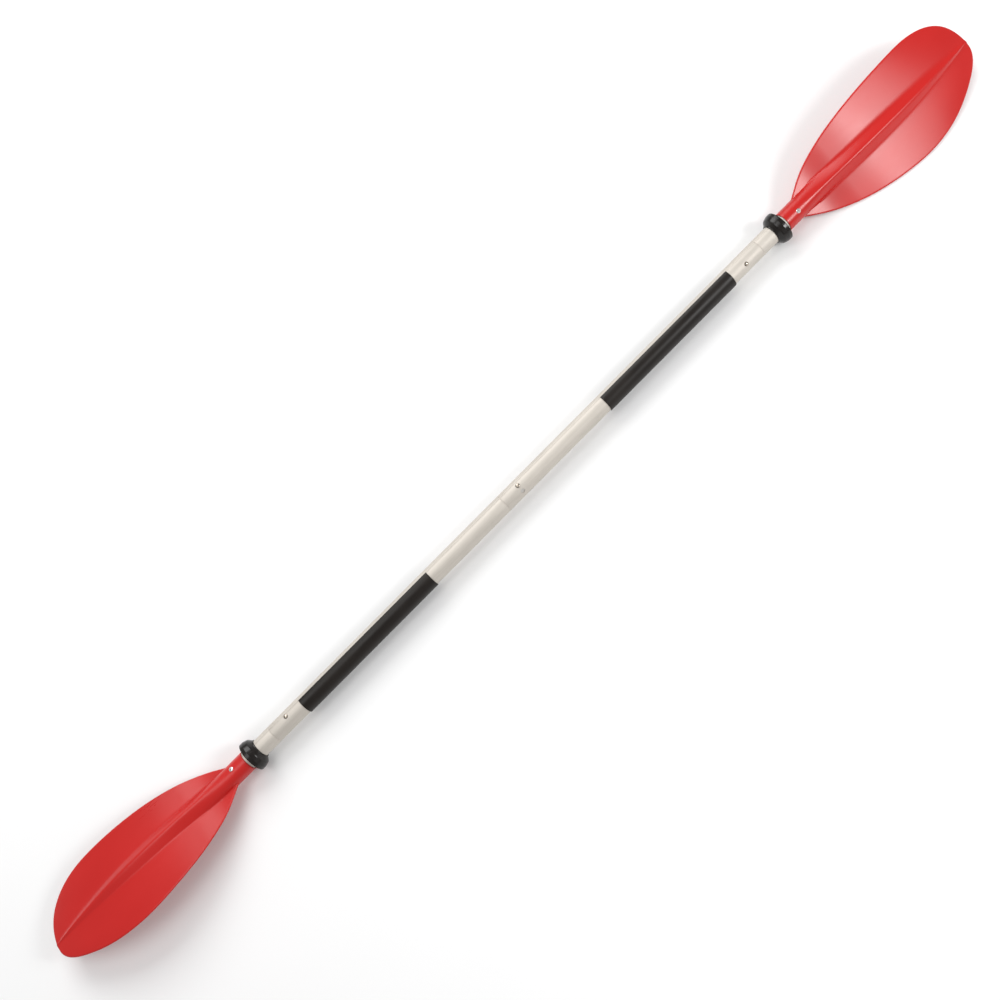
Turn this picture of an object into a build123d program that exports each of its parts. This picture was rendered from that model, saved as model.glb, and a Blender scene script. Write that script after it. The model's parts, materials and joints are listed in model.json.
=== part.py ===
from build123d import *
import os
from math import cos, hypot, radians, sin, sqrt

# A take-apart kayak paddle, in millimetres. X runs along the shaft towards the right blade, and
# Z is up for a paddle lying on level ground, on its two drip rings and the right blade's edge.
# The origin is on the shaft's axis, half way between the blade tips. Angles round the shaft are
# in degrees from straight up (+Z) towards -Y. A right-hand piece is made with its blade face up,
# then turned to its own angle. A left-hand piece is the mirror image, turned to the left angle.

# overall layout along the shaft, from the middle of the paddle
HALF_LENGTH = 1042.0
GRIP_START, GRIP_END = 200.6, 492.2
BLADE_BUTTON = 524.0
BUTTON_TO_JOINT = 35.4
BLADE_JOINT = BLADE_BUTTON + BUTTON_TO_JOINT
CENTRE_BUTTON = 4.0
CENTRE_JOINT = CENTRE_BUTTON - BUTTON_TO_JOINT
RING_MIDDLE = 606.0
NECK_START, NECK_END = 616.3, 655.0
RIVET_AT = 645.5

# angles round the shaft
FEATHER = 45.0
RIGHT_TURN = 31.6
LEFT_TURN = RIGHT_TURN - FEATHER
BLADE_BUTTON_TURN = 5.5
CENTRE_BUTTON_TURN = 2.1
GROOVE_TURN = -19.9
GRIP_EDGE_TURN = -21.4

# tubes: the shaft tubes and stubs are the same tube, and the ferrules slide inside it
TUBE_R, TUBE_WALL = 16.0, 1.2
BORE_R = TUBE_R - TUBE_WALL
SLIDING_GAP = 0.05
FERRULE_R, FERRULE_WALL = BORE_R - SLIDING_GAP, 1.3
FERRULE_BORE_R = FERRULE_R - FERRULE_WALL
FERRULE_LOOSE, FERRULE_FIXED = 70.0, 50.0
STUB_END = 712.0
END_BEVEL = 0.5
OUTSIDE = 4 * TUBE_R
GROOVE_WIDTH, GROOVE_DEPTH = 0.8, 0.35

# snap button, standing in a hole through the ferrule and the tube outside it
BUTTON_R, BUTTON_GAP = 3.5, 0.3
BUTTON_TOP, BUTTON_SHOULDER = 18.0, 16.9
FLANGE_R, FLANGE_TOP, FLANGE_BOTTOM = 4.6, 12.3, 11.7
SHANK_R, SHANK_GAP = 1.4, 0.4
FOOT_R, FOOT_TOP, FOOT_BOTTOM = 2.2, 10.3, 9.5

# snap spring: a bent strip, with its pad under the button and its foot on the opposite wall
STRIP_WIDTH, STRIP_THICK = 9.0, 0.8
PAD_Z, FOOT_Z, BEND_Z = 11.0, -12.2, -4.0
PAD_BACK, PAD_FRONT, BEND_REACH, FOOT_FRONT, FOOT_BACK = -8.0, 7.0, 38.0, 12.0, -6.0
STRIP_BEND_R = 3.0

# plugs that keep water out of the tubes
PLUG_LENGTH, PLUG_WALL = 18.0, 1.6
SHAFT_OUTER_PLUG, RIGHT_INNER_PLUG, LEFT_INNER_PLUG, STUB_PLUG = 455.0, 55.0, -115.0, 665.0

# grip: an open sleeve
GRIP_WALL = 1.6
GRIP_GAP = 76.0

# drip ring: half section as (along the shaft from the ring's middle, distance from the axis)
RING_BORE_R = TUBE_R + SLIDING_GAP
RING_SECTION = [
    (-14.0, RING_BORE_R),
    (-14.0, 18.0),
    (-7.0, 24.6),
    (1.0, 27.4),
    (7.6, 27.4),
    (6.4, 23.0),
    (-1.0, 20.4),
    (-3.0, 18.4),
    (8.5, 18.4),
    (8.5, RING_BORE_R),
]
RING_ROUND = 1.0

# blade: outline as (along the shaft, across the blade), height of the sheet and its droop at the
# sides, and the rib that carries on from the neck
NECK_R = TUBE_R + 1.8
SHEET_THICK, SHEET_HALF_WIDTH = 3.4, 96.0
LONG_EDGE = [(648, 14), (685, 36.2), (745, 59.4), (829, 74.3), (912, 79.5), (980, 73.8), (1025, 47.5)]
SHORT_EDGE = [(648, -15), (685, -38.7), (745, -65.9), (829, -84), (883, -87), (941, -78.2), (999, -54.5)]
TIP = (HALF_LENGTH, -8)
ROOT_SLOPE = 0.6
SHEET_STATIONS = [
    # along, height, droop at the sides
    (640, 0.0, 0.5),
    (695, 2.5, 0.5),
    (745, 11.0, 0.5),
    (795, 18.5, 0.6),
    (845, 23.0, 0.8),
    (893, 25.0, 1.5),
    (943, 24.0, 3.5),
    (992, 20.0, 8.0),
    (1060, 9.0, 20.0),
]
RIB_STATIONS = [
    # along, centre height, half width, rise above the centre, depth below it, share of ridge
    (NECK_END, 0.0, NECK_R, NECK_R, NECK_R, 0.0),
    (690, 2.0, 18.6, 17.4, 19.8, 0.3),
    (720, 6.0, 19.2, 16.2, 23.8, 0.7),
    (760, 13.4, 19.6, 13.6, 17.0, 1.0),
    (800, 19.0, 19.6, 11.8, 7.0, 1.0),
    (845, 23.0, 19.0, 10.2, 2.2, 1.0),
    (893, 25.0, 17.4, 8.6, 1.2, 1.0),
    (943, 24.0, 14.2, 6.6, 1.2, 1.0),
    (992, 20.0, 9.2, 4.6, 1.2, 1.0),
    (1027, 15.4, 3.6, 2.6, 1.2, 1.0),
]
RIB_KNOTS = [-1.0, -0.8, -0.55, -0.3, -0.12, 0.0, 0.12, 0.3, 0.55, 0.8, 1.0]
CREST_ROUND = 0.15

# blind rivet through the neck and the stub
RIVET_HEAD_R, RIVET_HEAD_RISE = 3.8, 1.2
RIVET_R, RIVET_BULB_R = 2.2, 3.2
RIVET_BULB_TOP, RIVET_BULB_BOTTOM = 14.3, 12.0
RIVET_CORE_R, MANDREL_HEAD_R, MANDREL_HEAD_BOTTOM, MANDREL_SUNK = 1.2, 2.1, 10.6, 0.5


def rod(start, end, radius):
    """A solid round bar along the shaft."""
    bar = Cylinder(radius, end - start, align=(Align.CENTER, Align.CENTER, Align.MIN))
    return Pos(start, 0, 0) * Rot(Y=90) * bar


def tube(start, end, outer, inner):
    return rod(start, end, outer) - rod(start, end, inner)


def post(bottom, top, radius):
    """A solid round bar that stands across the shaft."""
    bar = Cylinder(radius, top - bottom, align=(Align.CENTER, Align.CENTER, Align.MIN))
    return Pos(0, 0, bottom) * bar


def radial_hole(along, turn, radius):
    """A drill through one wall of the shaft, at an angle round it."""
    return Rot(X=turn) * Pos(along, 0, 0) * post(0, OUTSIDE, radius)


def groove(start, end, turn):
    cut = Box(end - start, GROOVE_WIDTH, 2 * GROOVE_DEPTH)
    return Rot(X=turn) * Pos((start + end) / 2, 0, TUBE_R) * cut


def shaft_piece(start, end, groove_turn):
    """A length of the outer tube, with bevelled ends and its lengthwise groove."""
    piece = tube(start, end, TUBE_R, BORE_R)
    outer_rims = piece.edges().filter_by(GeomType.CIRCLE).group_by(lambda edge: edge.radius)[-1]
    return chamfer(outer_rims, END_BEVEL) - groove(start, end, groove_turn)


def snap_button(along):
    """A domed pin with a flange inside the ferrule and a foot through the spring."""
    outline = [
        Line((0, 0, FOOT_BOTTOM), (FOOT_R, 0, FOOT_BOTTOM)),
        Line((FOOT_R, 0, FOOT_BOTTOM), (FOOT_R, 0, FOOT_TOP)),
        Line((FOOT_R, 0, FOOT_TOP), (SHANK_R, 0, FOOT_TOP)),
        Line((SHANK_R, 0, FOOT_TOP), (SHANK_R, 0, FLANGE_BOTTOM)),
        Line((SHANK_R, 0, FLANGE_BOTTOM), (FLANGE_R, 0, FLANGE_BOTTOM)),
        Line((FLANGE_R, 0, FLANGE_BOTTOM), (FLANGE_R, 0, FLANGE_TOP)),
        Line((FLANGE_R, 0, FLANGE_TOP), (BUTTON_R, 0, FLANGE_TOP)),
        Line((BUTTON_R, 0, FLANGE_TOP), (BUTTON_R, 0, BUTTON_SHOULDER)),
        TangentArc((0, 0, BUTTON_TOP), (BUTTON_R, 0, BUTTON_SHOULDER), tangent=(1, 0, 0)),
        Line((0, 0, BUTTON_TOP), (0, 0, FOOT_BOTTOM)),
    ]
    return Pos(along, 0, 0) * revolve(make_face(outline), Axis.Z, 360)


def snap_spring(along, side):
    """A bent strip under a button. Its bend lies on the side where the ferrule is fixed."""
    corners = [
        (PAD_BACK, PAD_Z),
        (PAD_FRONT, PAD_Z),
        (BEND_REACH, BEND_Z),
        (FOOT_FRONT, FOOT_Z),
        (FOOT_BACK, FOOT_Z),
    ]
    route = FilletPolyline(*[(along + side * x, z) for x, z in corners], radius=STRIP_BEND_R)
    strip = extrude(Plane.XZ * trace(route, STRIP_THICK), STRIP_WIDTH / 2, both=True)
    shank_hole = Pos(along, 0, PAD_Z) * Cylinder(SHANK_R + SHANK_GAP, 2 * STRIP_THICK)
    return strip - shank_hole


def ferrule(loose_end, fixed_end, button_at, button_turn):
    start, end = sorted((loose_end, fixed_end))
    sleeve = tube(start, end, FERRULE_R, FERRULE_BORE_R)
    return sleeve - radial_hole(button_at, button_turn, BUTTON_R + BUTTON_GAP)


def plug(start):
    """A cup pressed into a tube, with its floor at the far end."""
    cup = rod(start, start + PLUG_LENGTH, BORE_R)
    return cup - rod(start, start + PLUG_LENGTH - PLUG_WALL, BORE_R - PLUG_WALL)


def grip():
    """An open sleeve on the right half of the shaft. Its gap starts at GRIP_EDGE_TURN."""
    sleeve = tube(GRIP_START, GRIP_END, TUBE_R + GRIP_WALL, TUBE_R)
    gap_start, gap_end = radians(GRIP_EDGE_TURN), radians(GRIP_EDGE_TURN - GRIP_GAP)
    middle = (gap_start + gap_end) / 2
    corners = [(0, 0)] + [
        (-OUTSIDE * sin(angle), OUTSIDE * cos(angle)) for angle in (gap_start, middle, gap_end)
    ]
    wedge = extrude(make_face(Polyline(*corners, close=True)), GRIP_END - GRIP_START)
    return sleeve - Plane(origin=(GRIP_START, 0, 0), x_dir=(0, 1, 0), z_dir=(1, 0, 0)) * wedge


def drip_ring():
    """A rubber cup with its hollow towards the blade."""
    corners = [(RING_MIDDLE + x, r) for x, r in RING_SECTION]
    face = make_face(Polyline(*corners, close=True))
    soft_corners = [v for v in face.vertices() if v.Y > RING_BORE_R + RING_ROUND]
    return revolve(Plane.XZ * fillet(soft_corners, RING_ROUND), Axis.X, 360)


def sheet_section(along, height, droop):
    """A thin strip across the blade, lower at its sides than in its middle."""
    half = SHEET_HALF_WIDTH
    top, bottom = height + SHEET_THICK / 2, height - SHEET_THICK / 2
    arcs = [
        ThreePointArc((along, -half, z - droop), (along, 0, z), (along, half, z - droop))
        for z in (top, bottom)
    ]
    sides = [
        Line((along, y, top - droop), (along, y, bottom - droop)) for y in (-half, half)
    ]
    return make_face(arcs + sides)


def rib_section(along, height, half_width, rise, depth, ridge):
    """A half ellipse below, and above it a top that goes from a half ellipse to a roof's ridge."""
    plane = Plane(origin=(along, 0, height), x_dir=(0, 1, 0), z_dir=(1, 0, 0))
    if ridge:
        eaves = hypot(1, CREST_ROUND)
        top = []
        for knot in RIB_KNOTS:
            oval = sqrt(1 - knot**2)
            roof = (eaves - hypot(knot, CREST_ROUND)) / (eaves - CREST_ROUND)
            top.append((half_width * knot, rise * (oval + ridge * (roof - oval))))
        upper = Spline(*top)
    else:
        upper = EllipticalCenterArc((0, 0), half_width, rise, start_angle=0, arc_size=180)
    lower = EllipticalCenterArc((0, 0), half_width, depth, start_angle=180, arc_size=180)
    return plane * make_face([upper, lower])


def blade_outline():
    long_side = Spline(*LONG_EDGE, TIP, tangents=[(1, ROOT_SLOPE), (0, -1)])
    short_side = Spline(*SHORT_EDGE, TIP, tangents=[(1, -ROOT_SLOPE), (0, 1)])
    root = Line(LONG_EDGE[0], SHORT_EDGE[0])
    return make_face([long_side, short_side, root])


def blade():
    """The arched blade, its rib and the neck that the stub is riveted into."""
    sheet = loft([sheet_section(*station) for station in SHEET_STATIONS])
    cutter = extrude(blade_outline(), OUTSIDE, both=True)
    rib = loft([rib_section(*station) for station in RIB_STATIONS])
    whole = (sheet & cutter) + rib + rod(NECK_START, NECK_END, NECK_R)
    socket = rod(NECK_START, STUB_END, TUBE_R)
    return whole - socket - radial_hole(RIVET_AT, 0, RIVET_R)


def rivet():
    """A blind rivet: domed head outside the neck, and a bulb inside the stub."""
    head_top = NECK_R + RIVET_HEAD_RISE
    dome_edges = [
        Line((0, 0, NECK_R), (RIVET_HEAD_R, 0, NECK_R)),
        TangentArc((0, 0, head_top), (RIVET_HEAD_R, 0, NECK_R), tangent=(1, 0, 0)),
        Line((0, 0, head_top), (0, 0, NECK_R)),
    ]
    dome = revolve(make_face(dome_edges), Axis.Z, 360)
    body = post(RIVET_BULB_TOP, NECK_R, RIVET_R)
    bulb = post(RIVET_BULB_BOTTOM, RIVET_BULB_TOP, RIVET_BULB_R)
    core = post(0, OUTSIDE, RIVET_CORE_R)
    return Pos(RIVET_AT, 0, 0) * (dome + body + bulb - core)


def rivet_mandrel():
    """The broken-off stem left inside a blind rivet."""
    stem = post(MANDREL_HEAD_BOTTOM, NECK_R + RIVET_HEAD_RISE - MANDREL_SUNK, RIVET_CORE_R)
    head = post(MANDREL_HEAD_BOTTOM, RIVET_BULB_BOTTOM, MANDREL_HEAD_R)
    return Pos(RIVET_AT, 0, 0) * (stem + head)


def blade_section(turn):
    """Every piece that comes away with a right-hand blade, before it is turned by this angle."""
    button_turn = Rot(X=BLADE_BUTTON_TURN)
    loose_end, fixed_end = BLADE_JOINT - FERRULE_LOOSE, BLADE_JOINT + FERRULE_FIXED
    stub = shaft_piece(BLADE_JOINT, STUB_END, GROOVE_TURN - turn)
    return {
        "blade": blade(),
        "stub_tube": stub - radial_hole(RIVET_AT, 0, RIVET_R),
        "ferrule": ferrule(loose_end, fixed_end, BLADE_BUTTON, BLADE_BUTTON_TURN),
        "snap_spring": button_turn * snap_spring(BLADE_BUTTON, 1),
        "snap_button": button_turn * snap_button(BLADE_BUTTON),
        "stub_plug": plug(STUB_PLUG),
        "rivet": rivet(),
        "rivet_mandrel": rivet_mandrel(),
        "drip_ring": drip_ring(),
    }


def shaft_halves():
    """The two middle tubes, with the grips, the plugs and the centre joint."""
    button_turn = Rot(X=CENTRE_BUTTON_TURN)
    hole_r = BUTTON_R + BUTTON_GAP
    right_tube = shaft_piece(CENTRE_JOINT, BLADE_JOINT, GROOVE_TURN)
    for along, turn in (
        (CENTRE_BUTTON, CENTRE_BUTTON_TURN),
        (CENTRE_BUTTON, CENTRE_BUTTON_TURN + FEATHER),
        (BLADE_BUTTON, RIGHT_TURN + BLADE_BUTTON_TURN),
    ):
        right_tube -= radial_hole(along, turn, hole_r)
    left_tube = shaft_piece(-BLADE_JOINT, CENTRE_JOINT, GROOVE_TURN)
    left_tube -= radial_hole(-BLADE_BUTTON, LEFT_TURN + BLADE_BUTTON_TURN, hole_r)
    loose_end, fixed_end = CENTRE_JOINT + FERRULE_LOOSE, CENTRE_JOINT - FERRULE_FIXED
    return {
        "right_shaft_tube": right_tube,
        "left_shaft_tube": left_tube,
        "right_grip": grip(),
        "left_grip": mirror(grip(), Plane.YZ),
        "centre_ferrule": ferrule(loose_end, fixed_end, CENTRE_BUTTON, CENTRE_BUTTON_TURN),
        "centre_snap_spring": button_turn * snap_spring(CENTRE_BUTTON, -1),
        "centre_snap_button": button_turn * snap_button(CENTRE_BUTTON),
        "right_outer_plug": plug(SHAFT_OUTER_PLUG),
        "right_inner_plug": plug(RIGHT_INNER_PLUG),
        "left_outer_plug": mirror(plug(SHAFT_OUTER_PLUG), Plane.YZ),
        "left_inner_plug": plug(LEFT_INNER_PLUG),
    }


def all_nodes():
    nodes = shaft_halves()
    for name, shape in blade_section(RIGHT_TURN).items():
        nodes[f"right_{name}"] = Rot(X=RIGHT_TURN) * shape
    for name, shape in blade_section(LEFT_TURN).items():
        nodes[f"left_{name}"] = Rot(X=LEFT_TURN) * mirror(shape, Plane.YZ)
    return nodes


os.makedirs("parts", exist_ok=True)
for node, shape in all_nodes().items():
    export_step(shape, f"parts/{node}.step")
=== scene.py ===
import json
import math

import bmesh
import bpy
import numpy as np
from mathutils import Matrix, Vector


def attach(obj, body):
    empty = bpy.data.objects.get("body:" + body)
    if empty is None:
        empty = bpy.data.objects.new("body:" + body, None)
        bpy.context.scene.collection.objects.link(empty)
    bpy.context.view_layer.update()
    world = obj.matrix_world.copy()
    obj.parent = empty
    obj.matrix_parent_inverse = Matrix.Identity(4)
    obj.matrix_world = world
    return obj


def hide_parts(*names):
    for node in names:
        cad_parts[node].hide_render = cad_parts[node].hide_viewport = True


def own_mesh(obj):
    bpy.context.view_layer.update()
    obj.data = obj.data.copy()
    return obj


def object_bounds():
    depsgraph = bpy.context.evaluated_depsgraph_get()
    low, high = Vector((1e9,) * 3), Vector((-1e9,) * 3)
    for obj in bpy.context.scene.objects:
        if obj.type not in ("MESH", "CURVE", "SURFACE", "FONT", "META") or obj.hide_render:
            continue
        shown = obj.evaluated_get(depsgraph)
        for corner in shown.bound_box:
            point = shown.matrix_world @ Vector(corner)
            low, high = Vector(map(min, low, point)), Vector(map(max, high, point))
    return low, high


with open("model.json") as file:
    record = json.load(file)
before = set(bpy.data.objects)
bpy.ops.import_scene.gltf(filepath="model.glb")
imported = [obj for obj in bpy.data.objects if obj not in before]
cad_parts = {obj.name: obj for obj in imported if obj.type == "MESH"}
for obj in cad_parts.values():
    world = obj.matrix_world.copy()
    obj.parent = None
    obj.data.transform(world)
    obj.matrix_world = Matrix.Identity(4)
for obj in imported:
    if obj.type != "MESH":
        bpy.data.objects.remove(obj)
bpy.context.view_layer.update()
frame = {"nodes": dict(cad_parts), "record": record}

# A kayak paddle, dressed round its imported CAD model. X runs along the shaft towards the right
# blade. Sizes are in millimetres here and in the mesh code, and new_mesh() turns them into metres.
# Lights, camera and floor are in metres. Angles round the shaft are in degrees from straight up
# (+Z) towards -Y. Each piece of a side is made for the right side, at angle 0, and then placed.

MM = 0.001

# Turns round the shaft. A blade's button is turned from its blade, and FEATHER is how far the
# second hole of the centre button is from the first.
RIGHT_TURN, LEFT_TURN = 31.6, -13.4
BLADE_BUTTON_TURN, CENTRE_BUTTON_TURN = 5.5, 2.1
FEATHER = 45.0
GROOVE_TURN, GRIP_EDGE_TURN, GRIP_GAP = -19.9, -21.4, 76.0

TUBE_R, BORE_R = 16.0, 14.8
FERRULE_R, FERRULE_BORE_R = 14.75, 13.45
# The groove is wider and deeper than the CAD's, to be seen at the photo's scale.
GROOVE_WIDTH, GROOVE_DEPTH = 2.0, 0.7
BUTTON_HOLE_R = 3.8
# Places along the shaft.
BLADE_BUTTON, CENTRE_BUTTON = 524.0, 4.0
BLADE_JOINT, CENTRE_JOINT, STUB_END = 559.4, -31.4, 712.0
# How far a ferrule reaches into the tube that slides on it, and into its own tube.
FERRULE_LOOSE, FERRULE_FIXED = 70.0, 50.0
GRIP_START, GRIP_END, GRIP_WALL = 200.6, 492.2, 1.6
RING_MIDDLE = 606.0
# The CAD's neck starts 3.7 mm nearer the ring; here a sliver of bare tube shows, as in the photo.
NECK_START, NECK_END, NECK_R = 620.0, 655.0, 17.8

TUBE_BEVEL, FERRULE_BEVEL, BORE_BEVEL = 0.6, 0.5, 0.15
# Tubes that meet end to end stay this far apart, so that they never share a face.
END_GAP = 0.04

# Each side, its blade's turn, and whether it is mirrored.
SIDES = (("right", RIGHT_TURN, False), ("left", LEFT_TURN, True))


# ---------------------------------------------------------------- mesh helpers

def turn_matrix(degrees):
    """A turn round the shaft's axis."""
    return Matrix.Rotation(math.radians(degrees), 4, "X")


def outward(degrees):
    """The direction away from the shaft's axis at an angle round it."""
    a = math.radians(degrees)
    return Vector((0.0, -math.sin(a), math.cos(a)))


def new_mesh(name, points, faces, sharp=35.0):
    """An object from points in millimetres, smooth except at edges sharper than an angle."""
    mesh = bpy.data.meshes.new(name)
    mesh.from_pydata((np.asarray(points, float) * MM).tolist(), [], faces)
    mesh.validate()
    bm = bmesh.new()
    bm.from_mesh(mesh)
    bmesh.ops.remove_doubles(bm, verts=bm.verts, dist=1e-7)
    bmesh.ops.recalc_face_normals(bm, faces=bm.faces)
    bm.to_mesh(mesh)
    bm.free()
    smooth(mesh, sharp)
    piece = bpy.data.objects.new(name, mesh)
    bpy.context.scene.collection.objects.link(piece)
    return piece


def smooth(mesh, sharp):
    """Smooth shading, except at edges sharper than an angle in degrees."""
    mesh.shade_smooth()
    mesh.set_sharp_from_angle(angle=math.radians(sharp))


def place(piece, turn, mirrored=False):
    """Turns a piece round the shaft, after mirroring it for the left side if asked."""
    if mirrored:
        piece.data.transform(Matrix.Scale(-1, 4, (1, 0, 0)))
        piece.data.flip_normals()
    piece.data.transform(turn_matrix(turn))
    return piece


def ring_faces(rings, size, loop):
    """Quads between rings of points, each of the same size."""
    faces = []
    for i in range(rings if loop else rings - 1):
        a, b = i * size, ((i + 1) % rings) * size
        for j in range(size):
            k = (j + 1) % size
            faces.append((a + j, a + k, b + k, b + j))
    return faces


def loft(name, rings, sharp=35.0, loop=False):
    """A skin over closed rings. Open ends are closed with a fan round their middle."""
    size = len(rings[0])
    points = [p for ring in rings for p in ring]
    faces = ring_faces(len(rings), size, loop)
    if not loop:
        for start in (0, (len(rings) - 1) * size):
            middle = np.mean([points[start + j] for j in range(size)], axis=0)
            points.append(tuple(middle))
            tip = len(points) - 1
            faces += [(start + j, start + (j + 1) % size, tip) for j in range(size)]
    return new_mesh(name, points, faces, sharp)


def lathe(name, profile, segments, sharp=35.0):
    """A closed (along, radius) profile turned round the shaft's axis."""
    rings = []
    for a in np.linspace(0, 2 * math.pi, segments, endpoint=False):
        rings.append([(x, r * math.sin(a), r * math.cos(a)) for x, r in profile])
    return loft(name, rings, sharp, loop=True)


def rounded(corners, radii, steps):
    """A closed polygon with each corner rounded, but never past the middle of a side."""
    path = []
    for i in range(len(corners)):
        here = np.array(corners[i], float)
        to_last = np.array(corners[i - 1]) - here
        to_next = np.array(corners[(i + 1) % len(corners)]) - here
        last_len, next_len = np.linalg.norm(to_last), np.linalg.norm(to_next)
        to_last, to_next = to_last / last_len, to_next / next_len
        half = math.acos(np.clip(to_last @ to_next, -1, 1)) / 2
        cut = min(radii[i] / math.tan(half), 0.49 * last_len, 0.49 * next_len)
        if radii[i] <= 0 or cut < 1e-6:
            path.append(tuple(here))
            continue
        start, end = here + cut * to_last, here + cut * to_next
        for t in np.linspace(0, 1, steps):
            path.append(tuple((1 - t) ** 2 * start + 2 * t * (1 - t) * here + t * t * end))
    return path


def fine(profile, longest):
    """The same closed profile with its long sides divided."""
    path = []
    for i, here in enumerate(profile):
        there = profile[(i + 1) % len(profile)]
        parts = max(1, math.ceil(math.dist(here, there) / longest))
        for k in range(parts):
            path.append(tuple(np.array(here) + (np.array(there) - np.array(here)) * k / parts))
    return path


def cut_holes(piece, holes, sharp=35.0):
    """Drills round holes in from outside. Each hole is (along, turn, radius)."""
    bm = bmesh.new()
    for along, turn, radius in holes:
        made = bmesh.ops.create_cone(
            bm, cap_ends=True, segments=48, radius1=radius * MM, radius2=radius * MM,
            depth=2 * TUBE_R * MM,
        )
        move = turn_matrix(turn) @ Matrix.Translation((along * MM, 0, TUBE_R * MM))
        bmesh.ops.transform(bm, matrix=move, verts=made["verts"])
    cutter_mesh = bpy.data.meshes.new("cutter")
    bm.to_mesh(cutter_mesh)
    bm.free()
    cutter = bpy.data.objects.new("cutter", cutter_mesh)
    bpy.context.scene.collection.objects.link(cutter)
    modifier = piece.modifiers.new("holes", "BOOLEAN")
    modifier.operation, modifier.solver, modifier.object = "DIFFERENCE", "EXACT", cutter
    evaluated = piece.evaluated_get(bpy.context.evaluated_depsgraph_get())
    result = bpy.data.meshes.new_from_object(evaluated)
    piece.modifiers.clear()
    piece.data = result
    bpy.data.objects.remove(cutter)
    smooth(result, sharp)
    return piece


def hermite(u, h, start, end, start_slope, end_slope):
    """A cubic with given ends and slopes, a share u of the way along a stretch h long."""
    return (
        (2 * u**3 - 3 * u**2 + 1) * start + (u**3 - 2 * u**2 + u) * h * start_slope
        + (3 * u**2 - 2 * u**3) * end + (u**3 - u**2) * h * end_slope
    )


def spline(points, start_slope, end_slope, samples):
    """A smooth curve through points, with the directions of its ends given."""
    p = np.array(points, float)
    t = np.concatenate([[0], np.cumsum(np.linalg.norm(np.diff(p, axis=0), axis=1))])
    n, h = len(p), np.diff(t)
    a, b = np.eye(n), np.zeros((n, 2))
    b[0] = np.array(start_slope) / np.linalg.norm(start_slope)
    b[-1] = np.array(end_slope) / np.linalg.norm(end_slope)
    for i in range(1, n - 1):
        a[i, i - 1:i + 2] = h[i], 2 * (h[i - 1] + h[i]), h[i - 1]
        b[i] = 3 * (h[i - 1] * (p[i + 1] - p[i]) / h[i] + h[i] * (p[i] - p[i - 1]) / h[i - 1])
    m = np.linalg.solve(a, b)
    s = np.linspace(0, t[-1], samples)
    i = np.clip(np.searchsorted(t, s, side="right") - 1, 0, n - 2)
    u, w = ((s - t[i]) / h[i])[:, None], h[i][:, None]
    return hermite(u, w, p[i], p[i + 1], m[i], m[i + 1])


def soft_max(a, b, reach):
    """The larger of two heights, with a fillet where they are less than a reach apart."""
    share = np.clip(0.5 + 0.5 * (a - b) / reach, 0, 1)
    return b * (1 - share) + a * share + reach * share * (1 - share)


# ---------------------------------------------------------------- blades

# The outline: along, and across from the shaft's axis.
LONG_EDGE = [
    (648, 14), (685, 36.2), (745, 59.4), (829, 74.3), (912, 79.5), (980, 73.8), (1025, 47.5),
]
SHORT_EDGE = [
    (648, -15), (685, -38.7), (745, -65.9), (829, -84), (883, -87), (941, -78.2), (999, -54.5),
]
TIP = (1042.0, -8.0)
ROOT_SLOPE, OUTLINE_POINTS = 0.6, 1200
# The sheet starts to leave the neck at WING_START, and its fillets are full WING_GROWTH later.
WING_START, WING_GROWTH = 646.0, 30.0
SHEET_START, SHEET_THICK, SHEET_HALF_WIDTH, EDGE_REACH = 640.0, 3.4, 96.0, 2.4
# The sheet: along, height, droop at the sides.
SHEET = np.array([
    (SHEET_START, 0.0, 0.5), (695, 2.5, 0.5), (745, 11.0, 0.5), (795, 18.5, 0.6), (845, 23.0, 0.8),
    (893, 25.0, 1.5), (943, 24.0, 3.5), (992, 20.0, 8.0), (1060, 9.0, 20.0),
])
# The rib: along, centre height, half width, rise above the centre, depth below it, and its shape
# from 0, an oval, to 1, a roof's ridge.
RIB = np.array([
    (NECK_START, 0.0, NECK_R, NECK_R, NECK_R, 0.0), (636, 0.0, NECK_R, NECK_R, NECK_R, 0.0),
    (NECK_END, 0.0, NECK_R, NECK_R, NECK_R, 0.0), (690, 2.0, 18.6, 17.4, 19.8, 0.3),
    (720, 6.0, 19.2, 16.2, 23.8, 0.7), (760, 13.4, 19.6, 13.6, 17.0, 1.0),
    (800, 19.0, 19.6, 11.8, 7.0, 1.0), (845, 23.0, 19.0, 10.2, 2.2, 1.0),
    (893, 25.0, 17.4, 8.6, 1.2, 1.0), (943, 24.0, 14.2, 6.6, 1.2, 1.0),
    (992, 20.0, 9.2, 4.6, 1.2, 1.0), (1027, 15.4, 3.6, 2.6, 1.2, 1.0),
    (1042, 13.0, 1.2, 0.2, 0.6, 1.0),
])
CREST_ROUND = 0.15
# The most that the rib's foot may be, as a share of the neck, of the rib's half width, and of the
# blade's edges past NEAR_TIP, and the least that it may be.
FOOT_ON_NECK, FOOT_ON_RIB, FOOT_ON_EDGE, LEAST_FOOT = 0.9, 0.97, 0.8, 0.05
NEAR_TIP = 1000.0
# The fillets where the rib meets the sheet, on the short side, the long side and underneath, and
# the share of them at WING_START.
CRISP_FILLET, SOFT_FILLET, UNDER_FILLET, FIRST_FILLET = 1.0, 2.6, 4.0, 0.02
LIP_ROUND = 0.8
# Where the columns across the rib lie: this share bunched towards its feet, the rest even.
BUNCHED = 0.35
WING_COLUMNS, RIB_COLUMNS = 28, 20
ACROSS = 2 * (WING_COLUMNS + RIB_COLUMNS)
ALONG = 300


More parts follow.
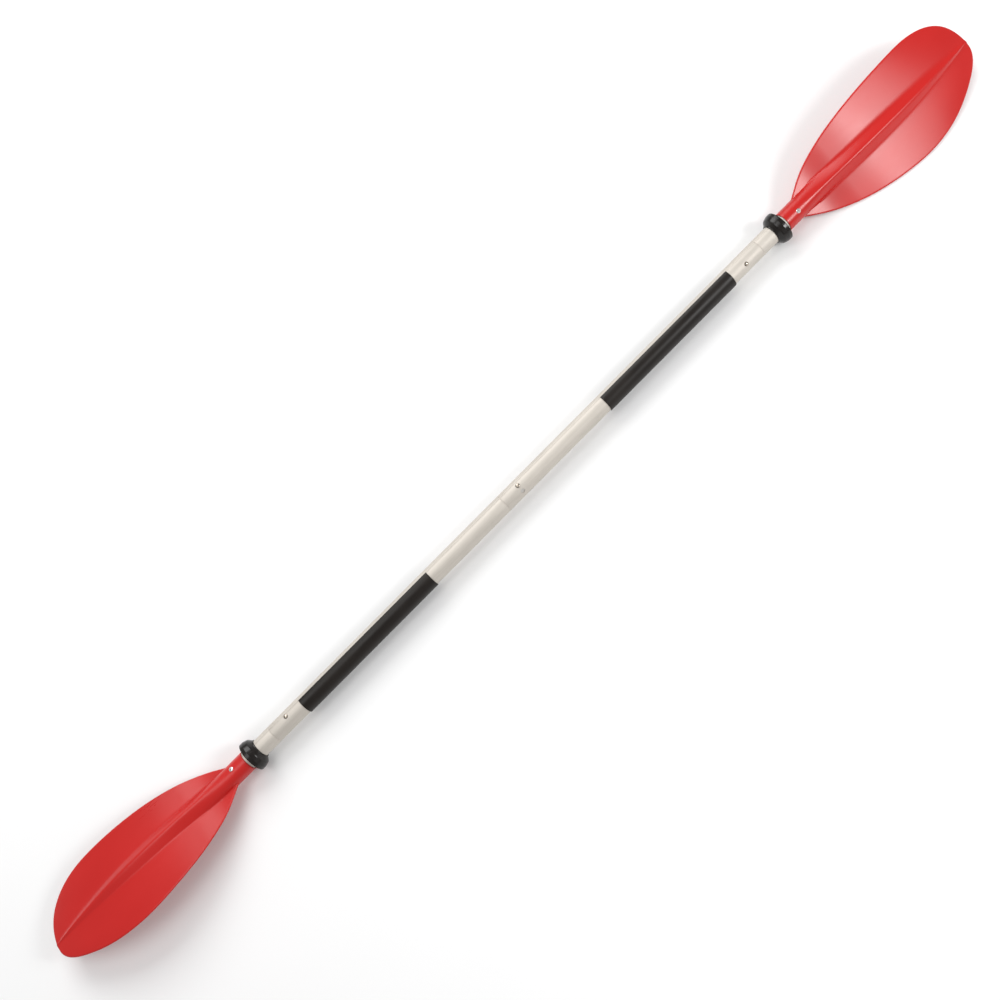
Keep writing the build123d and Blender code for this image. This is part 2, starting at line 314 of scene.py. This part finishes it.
def curve_through(stations, column, along):
    """A smooth value between stations."""
    x, y = stations[:, 0], stations[:, column]
    slope = np.gradient(y, x)
    i = np.clip(np.searchsorted(x, along, side="right") - 1, 0, len(x) - 2)
    h = x[i + 1] - x[i]
    u = np.clip((along - x[i]) / h, 0, 1)
    return float(hermite(u, h, y[i], y[i + 1], slope[i], slope[i + 1]))


def columns_across(short_edge, long_edge, foot):
    """Places across the blade: fine at both edges, and one always on each foot of the rib."""
    wing = 1 - np.cos(math.pi / 2 * np.linspace(0, 1, WING_COLUMNS, endpoint=False))
    even = np.linspace(-1, 1, 2 * RIB_COLUMNS + 1)
    flank = BUNCHED * np.sin(math.pi / 2 * even) + (1 - BUNCHED) * even
    return np.sort(np.concatenate([
        short_edge + (-foot - short_edge) * wing,
        foot * flank,
        (long_edge - (long_edge - foot) * wing)[::-1],
    ]))


def rib_tops(q, ridge):
    """Share of the rib's rise, at q half widths from its crest: from an oval to a roof's ridge."""
    eaves, fall = math.hypot(1, CREST_ROUND), 3
    oval = np.sqrt(np.clip(1 - q * q, 0, 1)) - fall * np.clip(np.abs(q) - 1, 0, None)
    roof = (eaves - np.hypot(q, CREST_ROUND)) / (eaves - CREST_ROUND)
    return oval + ridge * (roof - oval), oval


def rib_foot(x, edges, rib_z, rib_half, rise, ridge, sheet_top):
    """How far from the middle the rib's top runs into the sheet."""
    near = np.linspace(0, 1, 200)
    below = rib_z + rise * rib_tops(near, ridge)[0] < sheet_top
    foot = rib_half * near[max(1, int(np.argmax(below))) if below.any() else -1]
    if x > NEAR_TIP:
        foot = min(foot, FOOT_ON_EDGE * edges[1], -FOOT_ON_EDGE * edges[0])
    else:
        foot = min(foot, FOOT_ON_RIB * rib_half)
    return max(foot, LEAST_FOOT)


def blade_rings():
    """Closed sections from the neck to the tip, back of the blade up."""
    long_side = spline([*LONG_EDGE, TIP], (1, ROOT_SLOPE), (0, -1), OUTLINE_POINTS)
    short_side = spline([*SHORT_EDGE, TIP], (1, -ROOT_SLOPE), (0, 1), OUTLINE_POINTS)
    outline = np.concatenate([long_side, short_side])
    start = NECK_START + LIP_ROUND
    spread = np.sin(math.pi / 2 * np.linspace(0, 1, ALONG, endpoint=False))
    rings = []
    for x in start + (TIP[0] - start) * spread:
        rib_z, rib_half, rise, depth, ridge = (curve_through(RIB, c, x) for c in range(1, 6))
        sheet_z, droop = (curve_through(SHEET, c, max(x, SHEET_START)) for c in (1, 2))
        if x < WING_START:
            y = columns_across(-rib_half, rib_half, FOOT_ON_NECK * rib_half)
        else:
            edges = [np.interp(x, side[:, 0], side[:, 1]) for side in (short_side, long_side)]
            if x <= NEAR_TIP:
                edges = [min(edges[0], -rib_half), max(edges[1], rib_half)]
            sheet_top = sheet_z + SHEET_THICK / 2
            y = columns_across(*edges, rib_foot(x, edges, rib_z, rib_half, rise, ridge, sheet_top))
        rib_up, rib_down = rib_tops(y / rib_half, ridge)
        if x < WING_START:
            top, bottom = rib_z + rise * rib_down, rib_z - depth * rib_down
        else:
            # The sheet thins to nothing at the outline, with a round edge.
            places = np.stack([np.full_like(y, x), y], axis=1)
            apart = np.sqrt(((places[:, None] - outline[None]) ** 2).sum(axis=2)).min(axis=1)
            apart[[0, -1]] = 0
            edge = np.sqrt(np.clip(1 - (1 - np.clip(apart / EDGE_REACH, 0, 1)) ** 2, 0, 1))
            sheet, thick = sheet_z - droop * (y / SHEET_HALF_WIDTH) ** 2, SHEET_THICK / 2 * edge
            growth = np.clip((x - WING_START) / WING_GROWTH, FIRST_FILLET, 1)
            fillet = np.where(y > 0, SOFT_FILLET, CRISP_FILLET) * growth
            top = soft_max(sheet + thick, rib_z + rise * rib_up, fillet)
            bottom = -soft_max(thick - sheet, depth * rib_down - rib_z, UNDER_FILLET * growth)
        top[[0, -1]] = bottom[[0, -1]] = (top[[0, -1]] + bottom[[0, -1]]) / 2
        ring = [(x, y[j], top[j]) for j in range(ACROSS + 1)]
        rings.append(ring + [(x, y[j], bottom[j]) for j in range(ACROSS - 1, 0, -1)])
    sheet_z, droop = (curve_through(SHEET, c, TIP[0]) for c in (1, 2))
    tip = (*TIP, sheet_z - droop * (TIP[1] / SHEET_HALF_WIDTH) ** 2)
    rings.append([tip] * (2 * ACROSS))
    return rings


def circle_ring(along, radius):
    """A round section with its points spread like those of the blade's sections."""
    y = columns_across(-radius, radius, FOOT_ON_NECK * radius)
    z = np.sqrt(np.clip(radius**2 - y**2, 0, None))
    ring = [(along, y[j], z[j]) for j in range(ACROSS + 1)]
    return ring + [(along, y[j], -z[j]) for j in range(ACROSS - 1, 0, -1)]


def blade():
    """The neck's socket and lip, then the outside of the blade."""
    socket_r, socket_end = TUBE_R + 0.03, STUB_END + 0.2
    chamfer, last_lip_angle = 0.3, 0.2
    lip = [
        circle_ring(
            NECK_START + LIP_ROUND * (1 - math.sin(a)), NECK_R - LIP_ROUND * (1 - math.cos(a))
        )
        for a in np.linspace(math.pi / 2, last_lip_angle, 5)
    ]
    socket = [
        circle_ring(socket_end, socket_r), circle_ring(NECK_START + chamfer, socket_r),
        circle_ring(NECK_START, socket_r + chamfer),
    ]
    return loft("blade", socket + lip + blade_rings(), sharp=50.0)


# ---------------------------------------------------------------- tubes, grips, rings, springs

# Places across the groove, and how far the tube's even columns keep away, in half widths.
GROOVE_COLUMNS = np.array([-1.25, -1, -0.75, -0.45, 0, 0.45, 0.75, 1, 1.25])
GROOVE_CLEAR = 1.6


def turns_apart(a, b):
    """The angle between two directions round the shaft, in degrees."""
    return np.abs((a - b + 180) % 360 - 180)


def tube(name, start, end, outer, inner, bevel, groove_turn=None):
    """A length of tube, with bevelled rims and, if asked, a fine groove along it."""
    corners = [(start, inner), (start, outer), (end, outer), (end, inner)]
    profile = rounded(corners, [BORE_BEVEL, bevel, bevel, BORE_BEVEL], steps=4)
    profile = fine(profile, longest=40.0)
    skin_depth, columns = 0.3, 144
    turns = np.linspace(0, 360, columns, endpoint=False)
    if groove_turn is not None:
        half = math.degrees(GROOVE_WIDTH / 2 / outer)
        extra = groove_turn % 360 + half * GROOVE_COLUMNS
        turns = turns[turns_apart(turns, groove_turn) > GROOVE_CLEAR * half]
        turns = np.sort(np.concatenate([turns, extra % 360]))
    rings = []
    for turn in turns:
        sunk = 0.0
        if groove_turn is not None:
            off = min(turns_apart(turn, groove_turn) / half, 1.0)
            sunk = GROOVE_DEPTH * (1 - off**2) ** 0.5
        a = math.radians(turn)
        ring = []
        for x, r in profile:
            r -= sunk if r > outer - skin_depth else 0
            ring.append((x, -r * math.sin(a), r * math.cos(a)))
        rings.append(ring)
    return loft(name, rings, sharp=35.0, loop=True)


def shaft_tube(start, end, holes):
    """A main tube of the shaft, with its groove and the holes for its buttons."""
    plain = tube("shaft_tube", start, end, TUBE_R, BORE_R, TUBE_BEVEL, GROOVE_TURN)
    return cut_holes(plain, holes)


def stub_tube():
    """The short tube that carries a blade."""
    return tube("stub", BLADE_JOINT + END_GAP, STUB_END, TUBE_R, BORE_R, TUBE_BEVEL, GROOVE_TURN)


def ferrule(start, end, hole):
    """The sleeve inside a joint, with the hole for its button."""
    plain = tube("ferrule", start, end, FERRULE_R, FERRULE_BORE_R, FERRULE_BEVEL)
    return cut_holes(plain, [hole])


def grip():
    """An open sleeve with soft rims, on the right half of the shaft."""
    side_rim, end_rim, clearance = 0.75, 0.8, 0.02
    middle_r, half_wall = TUBE_R + GRIP_WALL / 2 + clearance, GRIP_WALL / 2
    half_sweep = (360 - GRIP_GAP) / 2
    middle = GRIP_EDGE_TURN + half_sweep
    columns, margin, middle_stations = 121, 4, 40
    turns = middle + half_sweep * np.sin(math.pi / 2 * np.linspace(-1, 1, columns))
    inset = np.radians(half_sweep - np.abs(turns - middle)) * middle_r
    rim = np.sqrt(np.clip(1 - (1 - np.clip(inset / side_rim, 0, 1)) ** 2, 0, 1))
    span = GRIP_END - GRIP_START
    ends = np.array([0, 0.03, 0.12, 0.28, 0.5, 0.75, 1.0, 1.4])
    long_part = np.linspace(margin, span - margin, middle_stations)
    stations = np.concatenate([ends, long_part, span - ends[::-1]])
    rings = []
    for d in stations:
        end = math.sqrt(max(0.0, 1 - (1 - min(1.0, min(d, span - d) / end_rim)) ** 2))
        ring = []
        for sign in (1, -1):
            for j in range(len(turns)) if sign > 0 else range(len(turns) - 2, 0, -1):
                r, a = middle_r + sign * half_wall * rim[j] * end, math.radians(turns[j])
                ring.append((GRIP_START + d, -r * math.sin(a), r * math.cos(a)))
        rings.append(ring)
    faces = ring_faces(len(rings), len(rings[0]), loop=False)
    return new_mesh("grip", [p for ring in rings for p in ring], faces, sharp=50.0)


def drip_ring():
    """A rubber cup, open towards the blade, with a bead round its mouth."""
    bore = TUBE_R + 0.05
    # Along from the ring's middle, and radius; then how round each of these corners is.
    corners = [
        (-14.0, bore), (-14.0, 18.0), (-12.2, 18.3), (-7.2, 24.5), (-5.6, 25.3), (0.6, 27.3),
        (7.6, 27.4), (6.4, 23.0), (-1.0, 20.4), (-3.0, 18.4), (8.5, 18.4), (8.5, bore),
    ]
    radii = [0.3, 0.8, 1.6, 1.6, 1.6, 1.4, 1.0, 1.2, 1.4, 1.0, 0.7, 0.3]
    profile = rounded([(RING_MIDDLE + x, r) for x, r in corners], radii, steps=7)
    return lathe("drip_ring", fine(profile, longest=1.5), segments=160, sharp=60.0)


RIVET_AT, RIVET_R, RIVET_CORE_R = 645.5, 2.2, 1.2
RIVET_HEAD_R, RIVET_HEAD_RISE, RIVET_SKIRT = 3.8, 1.2, 0.45
RIVET_BULB_R, RIVET_BULB_TOP, RIVET_BULB_BOTTOM = 3.2, 14.3, 12.0


def rivet():
    """A blind rivet turned about its own axis: bulb, shank and a low domed head."""
    dome_r = (RIVET_HEAD_R**2 + RIVET_HEAD_RISE**2) / (2 * RIVET_HEAD_RISE)
    dome_centre = NECK_R + RIVET_HEAD_RISE - dome_r
    profile = [
        (RIVET_BULB_BOTTOM, RIVET_CORE_R), (RIVET_BULB_BOTTOM, RIVET_BULB_R),
        (RIVET_BULB_TOP, RIVET_BULB_R), (RIVET_BULB_TOP, RIVET_R),
        (NECK_R - RIVET_SKIRT, RIVET_R), (NECK_R - RIVET_SKIRT, RIVET_HEAD_R),
    ]
    dome_rings = 14
    for r in np.linspace(RIVET_HEAD_R, RIVET_CORE_R, dome_rings):
        profile.append((dome_centre + math.sqrt(dome_r**2 - r**2), r))
    piece = lathe("rivet", profile, segments=72)
    upright = Matrix.Rotation(-math.pi / 2, 4, "Y")
    piece.data.transform(Matrix.Translation((RIVET_AT * MM, 0, 0)) @ upright)
    return piece


STRIP_WIDTH, STRIP_THICK, STRIP_BEVEL, STRIP_BEND_R = 9.0, 0.8, 0.15, 3.0
BUTTON_SHANK_HOLE_R = 1.8
PAD_Z, FOOT_Z, BEND_Z = 11.0, -12.2, -4.0
# The strip's middle line, along from the button and up: pad, bend, foot.
SPRING_CORNERS = [(-8.0, PAD_Z), (7.0, PAD_Z), (38.0, BEND_Z), (12.0, FOOT_Z), (-6.0, FOOT_Z)]


def arc_path(corners, radius, steps=10):
    """An open path with a true arc at each inner corner."""
    path = [np.array(corners[0], float)]
    for last, here, there in zip(corners, corners[1:], corners[2:]):
        here = np.array(here, float)
        back, ahead = np.array(last) - here, np.array(there) - here
        back, ahead = back / np.linalg.norm(back), ahead / np.linalg.norm(ahead)
        half = math.acos(np.clip(back @ ahead, -1, 1)) / 2
        cut = radius / math.tan(half)
        centre = here + (back + ahead) / np.linalg.norm(back + ahead) * radius / math.sin(half)
        start, end = here + cut * back - centre, here + cut * ahead - centre
        sweep = math.pi - 2 * half
        sign = np.sign(start[0] * end[1] - start[1] * end[0])
        for t in np.linspace(0, sweep, steps):
            c, s = math.cos(t), math.sin(t) * sign
            turned = np.array([c * start[0] - s * start[1], s * start[0] + c * start[1]])
            path.append(centre + turned)
    path.append(np.array(corners[-1], float))
    return np.array(path)


def snap_spring(along, side):
    """A bent strip of steel with a hole for its button's shank; side is where its bend points."""
    path = arc_path([(along + side * x, z) for x, z in SPRING_CORNERS], STRIP_BEND_R)
    tangent = np.gradient(path, axis=0)
    tangent /= np.linalg.norm(tangent, axis=1)[:, None]
    normal = np.stack([-tangent[:, 1], tangent[:, 0]], axis=1)
    w, t, b = STRIP_WIDTH / 2, STRIP_THICK / 2, STRIP_BEVEL
    section = [
        (-w + b, -t), (w - b, -t), (w, -t + b), (w, t - b), (w - b, t), (-w + b, t),
        (-w, t - b), (-w, -t + b),
    ]
    rings = [
        [(p[0] + n[0] * v, y, p[1] + n[1] * v) for y, v in section] for p, n in zip(path, normal)
    ]
    strip = loft("snap_spring", rings, sharp=40.0)
    return cut_holes(strip, [(along, 0, BUTTON_SHANK_HOLE_R)], sharp=40.0)


# ---------------------------------------------------------------- materials

EVEN = (1.0, 1.0, 1.0)


class Shader:
    """A Principled material with the node links used below."""

    def __init__(self, name, **values):
        self.material = bpy.data.materials.new(name)
        self.material.use_nodes = True
        tree = self.material.node_tree
        self.nodes, self.links = tree.nodes, tree.links
        self.shader = self.nodes["Principled BSDF"]
        for key, value in values.items():
            self.shader.inputs[key.replace("_", " ")].default_value = value
        self.where = self.nodes.new("ShaderNodeTexCoord")

    def noise(self, stretch, scale, detail, roughness=0.55, distortion=0.0):
        """A noise over the object, in metres, stretched along the shaft where asked."""
        mapping = self.nodes.new("ShaderNodeMapping")
        mapping.inputs["Scale"].default_value = stretch
        noise = self.nodes.new("ShaderNodeTexNoise")
        noise.inputs["Scale"].default_value = scale
        noise.inputs["Detail"].default_value = detail
        noise.inputs["Roughness"].default_value = roughness
        noise.inputs["Distortion"].default_value = distortion
        self.links.new(self.where.outputs["Object"], mapping.inputs["Vector"])
        self.links.new(mapping.outputs["Vector"], noise.inputs["Vector"])
        return noise.outputs["Fac"]

    def ramp(self, value, stops):
        """A colour between stops, or a plain value where the stops are numbers."""
        node = self.nodes.new("ShaderNodeValToRGB")
        while len(node.color_ramp.elements) < len(stops):
            node.color_ramp.elements.new(0.5)
        for element, (place_at, colour) in zip(node.color_ramp.elements, stops):
            element.position = place_at
            element.color = (*(colour if hasattr(colour, "__len__") else (colour,) * 3), 1.0)
        self.links.new(value, node.inputs["Fac"])
        return node.outputs["Color"]

    def math(self, operation, a, b):
        """A sum or product of two links or numbers."""
        node = self.nodes.new("ShaderNodeMath")
        node.operation = operation
        for socket, value in zip(node.inputs, (a, b)):
            if hasattr(value, "is_linked"):
                self.links.new(value, socket)
            else:
                socket.default_value = value
        return node.outputs["Value"]

    def set(self, socket, value):
        """Links a value to a socket of the shader."""
        self.links.new(value, self.shader.inputs[socket])

    def bump(self, height, strength, distance, normal=None):
        """A bump of a height in metres, over another bump if there is one."""
        node = self.nodes.new("ShaderNodeBump")
        node.inputs["Strength"].default_value = strength
        node.inputs["Distance"].default_value = distance
        self.links.new(height, node.inputs["Height"])
        if normal is not None:
            self.links.new(normal, node.inputs["Normal"])
        return node.outputs["Normal"]


def aluminium(name, light, dark, rough_low, rough_high):
    """Drawn tube: fine lines along it, and soft cloudy changes in how it shines."""
    m = Shader(name, Metallic=0.4)
    lines = m.noise((0.012, 1.0, 1.0), scale=1500.0, detail=3.0)
    clouds = m.noise((0.35, 1.0, 1.0), scale=60.0, detail=5.0)
    both = m.math("ADD", m.math("MULTIPLY", lines, 0.55), m.math("MULTIPLY", clouds, 0.45))
    m.set("Base Color", m.ramp(both, [(0.35, dark), (0.62, light)]))
    m.set("Roughness", m.ramp(both, [(0.3, rough_low), (0.7, rough_high)]))
    m.set("Normal", m.bump(lines, strength=0.12, distance=0.00004))
    return m.material


def steel(name, light, dark, rough_low, rough_high, stretch=EVEN):
    """Bare metal with a fine grain."""
    m = Shader(name, Metallic=1.0)
    grain = m.noise(stretch, scale=900.0, detail=4.0)
    m.set("Base Color", m.ramp(grain, [(0.3, dark), (0.7, light)]))
    m.set("Roughness", m.ramp(grain, [(0.3, rough_low), (0.7, rough_high)]))
    m.set("Normal", m.bump(grain, strength=0.1, distance=0.00003))
    return m.material


def blade_plastic():
    """Moulded red plastic: slow changes in tone, a fine skin and a few light scuffs."""
    m = Shader("blade_plastic", IOR=1.46)
    flow = m.noise((0.4, 1.0, 1.0), scale=9.0, detail=3.0)
    skin = m.noise(EVEN, scale=1400.0, detail=2.0)
    ripple = m.noise((0.5, 1.0, 1.0), scale=28.0, detail=2.0)
    scuff = m.noise((0.06, 1.0, 1.0), scale=420.0, detail=5.0, roughness=0.6, distortion=0.4)
    deep, bright = (0.47, 0.0090, 0.0068), (0.53, 0.0115, 0.0090)
    m.set("Base Color", m.ramp(flow, [(0.3, deep), (0.7, bright)]))
    rough = m.ramp(flow, [(0.3, 0.24), (0.7, 0.29)])
    m.set("Roughness", m.math("ADD", rough, m.math("MULTIPLY", scuff, 0.06)))
    fine_skin = m.bump(skin, strength=0.10, distance=0.00006)
    m.set("Normal", m.bump(ripple, strength=0.08, distance=0.0006, normal=fine_skin))
    return m.material


def black_sleeve():
    """Smooth black sleeve, with faint lines along it from its moulding."""
    m = Shader("grip_plastic", IOR=1.33)
    lines = m.noise((0.02, 1.0, 1.0), scale=700.0, detail=3.0)
    patches = m.noise((0.3, 1.0, 1.0), scale=45.0, detail=4.0)
    dark, light = (0.0095, 0.0070, 0.0055), (0.0150, 0.0115, 0.0090)
    m.set("Base Color", m.ramp(patches, [(0.35, dark), (0.7, light)]))
    m.set("Roughness", m.ramp(patches, [(0.3, 0.33), (0.7, 0.46)]))
    m.set("Normal", m.bump(lines, strength=0.18, distance=0.00006))
    return m.material


def ring_rubber():
    """Soft black rubber with small glossy dimples."""
    m = Shader("ring_rubber", IOR=1.38)
    patches = m.noise(EVEN, scale=120.0, detail=4.0)
    dimples = m.noise(EVEN, scale=750.0, detail=2.0)
    dark, light = (0.0065, 0.0050, 0.0042), (0.0120, 0.0095, 0.0080)
    m.set("Base Color", m.ramp(patches, [(0.35, dark), (0.7, light)]))
    m.set("Roughness", m.ramp(patches, [(0.3, 0.18), (0.7, 0.28)]))
    m.set("Normal", m.bump(dimples, strength=0.12, distance=0.00008))
    return m.material


def plug_plastic():
    """Pale moulded plastic, cloudy and slightly pitted."""
    m = Shader("plug_plastic", Roughness=0.55)
    patches = m.noise(EVEN, scale=90.0, detail=4.0)
    m.set("Base Color", m.ramp(patches, [(0.3, (0.50, 0.50, 0.49)), (0.7, (0.60, 0.60, 0.58))]))
    pits = m.noise(EVEN, scale=900.0, detail=2.0)
    m.set("Normal", m.bump(pits, strength=0.15, distance=0.00008))
    return m.material


def floor_paint():
    """Plain pale paint, very slightly cloudy."""
    m = Shader("floor_paint", Roughness=0.8)
    clouds = m.noise(EVEN, scale=1.5, detail=3.0)
    m.set("Base Color", m.ramp(clouds, [(0.3, 0.87), (0.7, 0.89)]))
    return m.material


MATERIALS = {
    "blade_plastic": blade_plastic(),
    "grip_plastic": black_sleeve(),
    "ring_rubber": ring_rubber(),
    "plug_plastic": plug_plastic(),
}
# Name, light and dark colour, lowest and highest roughness, and a stretch where there is one.
for values in (
    ("tube_aluminium", (0.60, 0.556, 0.500), (0.53, 0.490, 0.438), 0.50, 0.62),
    ("ferrule_aluminium", (0.58, 0.56, 0.53), (0.48, 0.46, 0.44), 0.42, 0.55),
):
    MATERIALS[values[0]] = aluminium(*values)
for values in (
    ("rivet_aluminium", (0.86, 0.85, 0.83), (0.72, 0.71, 0.69), 0.22, 0.36),
    ("spring_steel", (0.48, 0.45, 0.42), (0.34, 0.32, 0.30), 0.25, 0.42, (0.05, 1, 1)),
    ("button_steel", (0.50, 0.44, 0.37), (0.36, 0.31, 0.26), 0.20, 0.32),
    ("mandrel_steel", (0.20, 0.18, 0.17), (0.08, 0.075, 0.07), 0.4, 0.6),
):
    MATERIALS[values[0]] = steel(*values)


def dress(piece, slot):
    """Gives a piece the material of its slot, and no other."""
    piece.data.materials.clear()
    piece.data.materials.append(MATERIALS[slot])


def finish_piece(piece, name, slot, body, node):
    """Names a new piece, gives it its material and body, and hides the CAD node it stands for."""
    piece.name = name
    piece.data.name = name
    dress(piece, slot)
    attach(piece, body)
    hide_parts(node)


# The buttons, mandrels and plugs keep their CAD meshes; the other nodes are replaced below.
for part in frame["record"]["subparts"]:
    node = frame["nodes"][part["node"]]
    dress(node, part["material_slot"])
    smooth(node.data, 35.0)

# ---------------------------------------------------------------- the pieces

for side, turn, mirrored in SIDES:
    section = f"{side}_blade_section"
    for piece, piece_turn, name, slot, body, node in (
        (blade(), turn, "blade_skin", "blade_plastic", section, "blade"),
        (grip(), 0, "grip_sleeve", "grip_plastic", f"{side}_shaft", "grip"),
        (drip_ring(), turn, "ring_cup", "ring_rubber", f"{side}_ring", "drip_ring"),
        (rivet(), turn, "rivet_body", "rivet_aluminium", section, "rivet"),
        (stub_tube(), 0, "stub", "tube_aluminium", section, "stub_tube"),
        (
            ferrule(BLADE_JOINT - FERRULE_LOOSE, BLADE_JOINT + FERRULE_FIXED,
                    (BLADE_BUTTON, BLADE_BUTTON_TURN, BUTTON_HOLE_R)),
            turn, "sleeve", "ferrule_aluminium", section, "ferrule",
        ),
        (
            snap_spring(BLADE_BUTTON, 1), turn + BLADE_BUTTON_TURN,
            "spring_strip", "spring_steel", section, "snap_spring",
        ),
    ):
        place(piece, piece_turn, mirrored)
        finish_piece(piece, f"{side}_{name}", slot, body, f"{side}_{node}")

right_tube = shaft_tube(CENTRE_JOINT + END_GAP, BLADE_JOINT, [
    (CENTRE_BUTTON, CENTRE_BUTTON_TURN, BUTTON_HOLE_R),
    (CENTRE_BUTTON, CENTRE_BUTTON_TURN + FEATHER, BUTTON_HOLE_R),
    (BLADE_BUTTON, RIGHT_TURN + BLADE_BUTTON_TURN, BUTTON_HOLE_R),
])
finish_piece(right_tube, "right_tube", "tube_aluminium", "right_shaft", "right_shaft_tube")

left_tube = shaft_tube(-BLADE_JOINT, CENTRE_JOINT, [
    (-BLADE_BUTTON, LEFT_TURN + BLADE_BUTTON_TURN, BUTTON_HOLE_R),
])
finish_piece(left_tube, "left_tube", "tube_aluminium", "left_shaft", "left_shaft_tube")

middle_sleeve = ferrule(CENTRE_JOINT - FERRULE_FIXED, CENTRE_JOINT + FERRULE_LOOSE,
                        (CENTRE_BUTTON, CENTRE_BUTTON_TURN, BUTTON_HOLE_R))
finish_piece(middle_sleeve, "middle_sleeve", "ferrule_aluminium", "left_shaft", "centre_ferrule")

middle_strip = place(snap_spring(CENTRE_BUTTON, -1), CENTRE_BUTTON_TURN)
finish_piece(
    middle_strip, "middle_spring_strip", "spring_steel", "left_shaft", "centre_snap_spring"
)

# Each spring strip gets its own copy of its mesh.
for name, joint, turn in (
    ("right_spring_strip", "right_button_press", RIGHT_TURN + BLADE_BUTTON_TURN),
    ("left_spring_strip", "left_button_press", LEFT_TURN + BLADE_BUTTON_TURN),
    ("middle_spring_strip", "centre_button_press", CENTRE_BUTTON_TURN),
):
    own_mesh(bpy.data.objects[name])

# ---------------------------------------------------------------- stage, lights, camera

FLOOR_SIZE = 60.0
half_floor, floor_z = FLOOR_SIZE / 2 / MM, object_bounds()[0].z / MM
floor_corners = [
    (x * half_floor, y * half_floor, floor_z) for x, y in ((-1, -1), (1, -1), (1, 1), (-1, 1))
]
floor = new_mesh("floor", floor_corners, [(0, 1, 2, 3)])
floor.data.materials.append(floor_paint())

world = bpy.data.worlds.new("studio")
bpy.context.scene.world = world
world.use_nodes = True
background = world.node_tree.nodes["Background"]
background.inputs["Color"].default_value = (1.0, 1.0, 1.0, 1.0)
background.inputs["Strength"].default_value = 0.40


def area_light(name, place_at, target, size, power):
    """A soft rectangular lamp, aimed at a point."""
    light = bpy.data.lights.new(name, "AREA")
    light.shape, light.size, light.size_y = "RECTANGLE", size[0], size[1]
    light.energy = power
    lamp = bpy.data.objects.new(name, light)
    bpy.context.scene.collection.objects.link(lamp)
    lamp.location = place_at
    aim = Vector(target) - Vector(place_at)
    lamp.rotation_euler = aim.to_track_quat("-Z", "Y").to_euler()


# Name, place, target, width and height, watts.
area_light("top", (-0.9, 0.45, 3.2), (-0.2, 0, 0), (1.8, 1.8), 28)
area_light("key", (0.5, 2.6, 2.4), (0, 0, 0), (2.8, 2.2), 92)
area_light("strip", (1.36, -1.57, 1.69), (0.8, 0, 0), (0.26, 0.8), 22)
area_light("side", (1.85, -1.45, 1.60), (0.8, 0, 0), (0.6, 0.9), 10)
area_light("fill", (0.4, -2.98, 1.32), (0, 0, 0), (1.8, 1.8), 4)

# The camera leans round the shaft, and the shaft tilts towards it and runs up the picture's
# diagonal: RIGHT_SHARE and UP_SHARE are how far it goes across and up.
CAMERA_PLACE = Vector((-0.0701, -0.5950, 1.6966))
CAMERA_LEAN, SHAFT_TILT, PICTURE_TURN = 19.6, 1.2, 0.0021
RIGHT_SHARE, UP_SHARE = 0.70622, 0.70799
LENS, SENSOR = 39.6, 36.0

lean, tilt = math.radians(CAMERA_LEAN), math.radians(SHAFT_TILT)
toward = outward(CAMERA_LEAN)
along_shaft = Vector((1, 0, 0)) * math.cos(tilt) + toward * math.sin(tilt)
across = Vector((-PICTURE_TURN, -math.cos(lean), -math.sin(lean))).normalized()
camera_right = (RIGHT_SHARE * along_shaft + UP_SHARE * across).normalized()
camera_up = UP_SHARE * along_shaft - RIGHT_SHARE * across
camera_back = camera_right.cross(camera_up).normalized()
camera_up = camera_back.cross(camera_right)

camera_data = bpy.data.cameras.new("camera")
camera_data.lens, camera_data.sensor_width = LENS, SENSOR
camera_data.clip_start, camera_data.clip_end = 0.05, 50.0
camera = bpy.data.objects.new("camera", camera_data)
bpy.context.scene.collection.objects.link(camera)
camera_axes = Matrix((camera_right, camera_up, camera_back)).transposed().to_4x4()
camera.matrix_world = Matrix.Translation(CAMERA_PLACE) @ camera_axes
bpy.context.scene.camera = camera

bpy.context.scene.view_settings.view_transform = "Standard"
